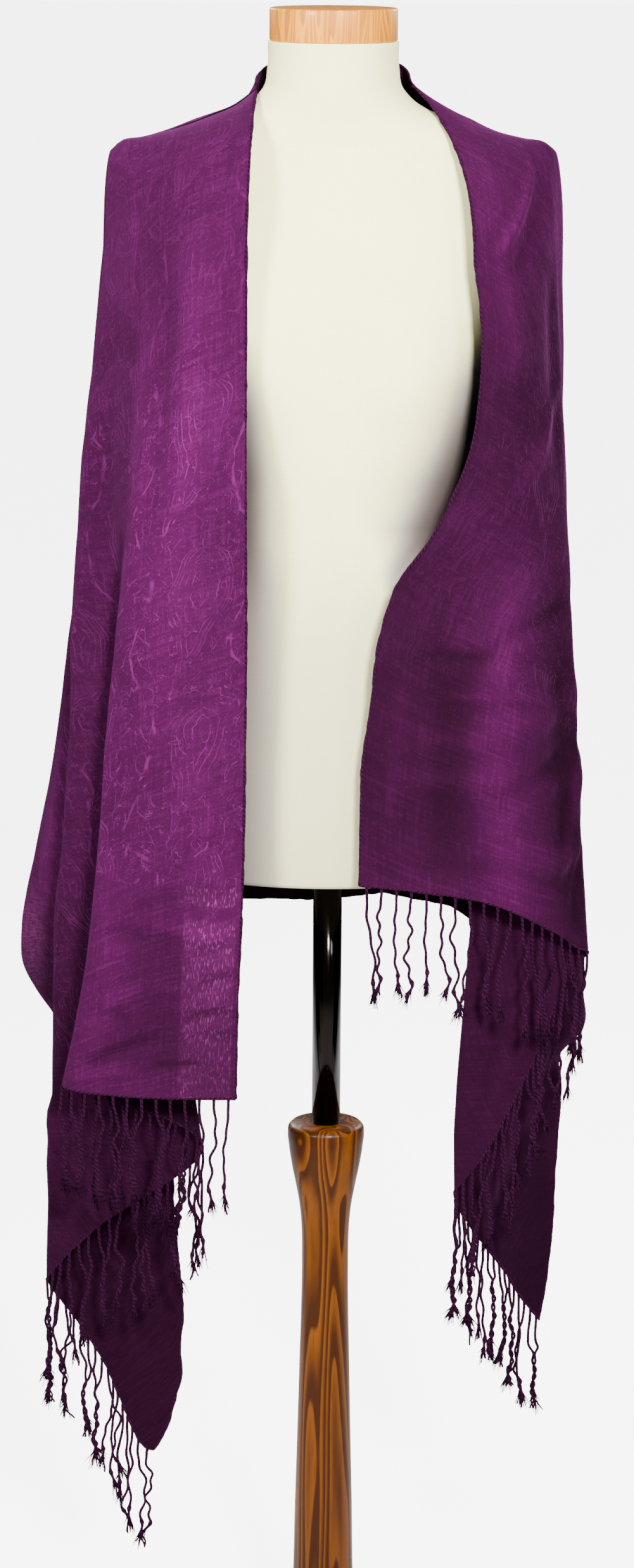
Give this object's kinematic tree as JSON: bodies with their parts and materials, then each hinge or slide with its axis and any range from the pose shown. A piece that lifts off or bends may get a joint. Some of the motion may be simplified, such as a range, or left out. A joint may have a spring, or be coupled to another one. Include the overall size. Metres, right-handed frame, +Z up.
{
  "type": "draped fringed paisley scarf on a limbless dress form and stand",
  "caption": "Long fringed paisley scarf worn open over the shoulders of a limbless linen dress form on a turned wooden stand.",
  "frame": {"origin": "centre of the stand base's underside, on the floor", "axes": "+Z up, the front of the form faces -Y, +X towards the viewer's right when seen from the front"},
  "size_m": [0.4958, 0.34, 1.499],
  "materials": {
    "scarf": "satin jacquard weave, tonal paisley",
    "linen": "matt plain weave",
    "pale_wood": "satin varnish",
    "brown_wood": "gloss varnish",
    "chrome": "polished, dark"
  },
  "bodies": {
    "root": {"scarf_back": "scarf", "scarf_left_front": "scarf", "scarf_left_side_fold": "scarf", "scarf_left_back_fold": "scarf", "scarf_right_front": "scarf", "scarf_right_side_fold": "scarf", "scarf_right_back_fold": "scarf", "fringe_left_front": "scarf", "fringe_left_side_fold": "scarf", "fringe_left_back_fold": "scarf", "fringe_right_front": "scarf", "fringe_right_side_fold": "scarf", "fringe_right_back_fold": "scarf", "form_torso": "linen", "neck_cap": "pale_wood", "form_pole": "chrome", "stand_post": "brown_wood", "stand_base": "brown_wood"}
  },
  "joints": []
}
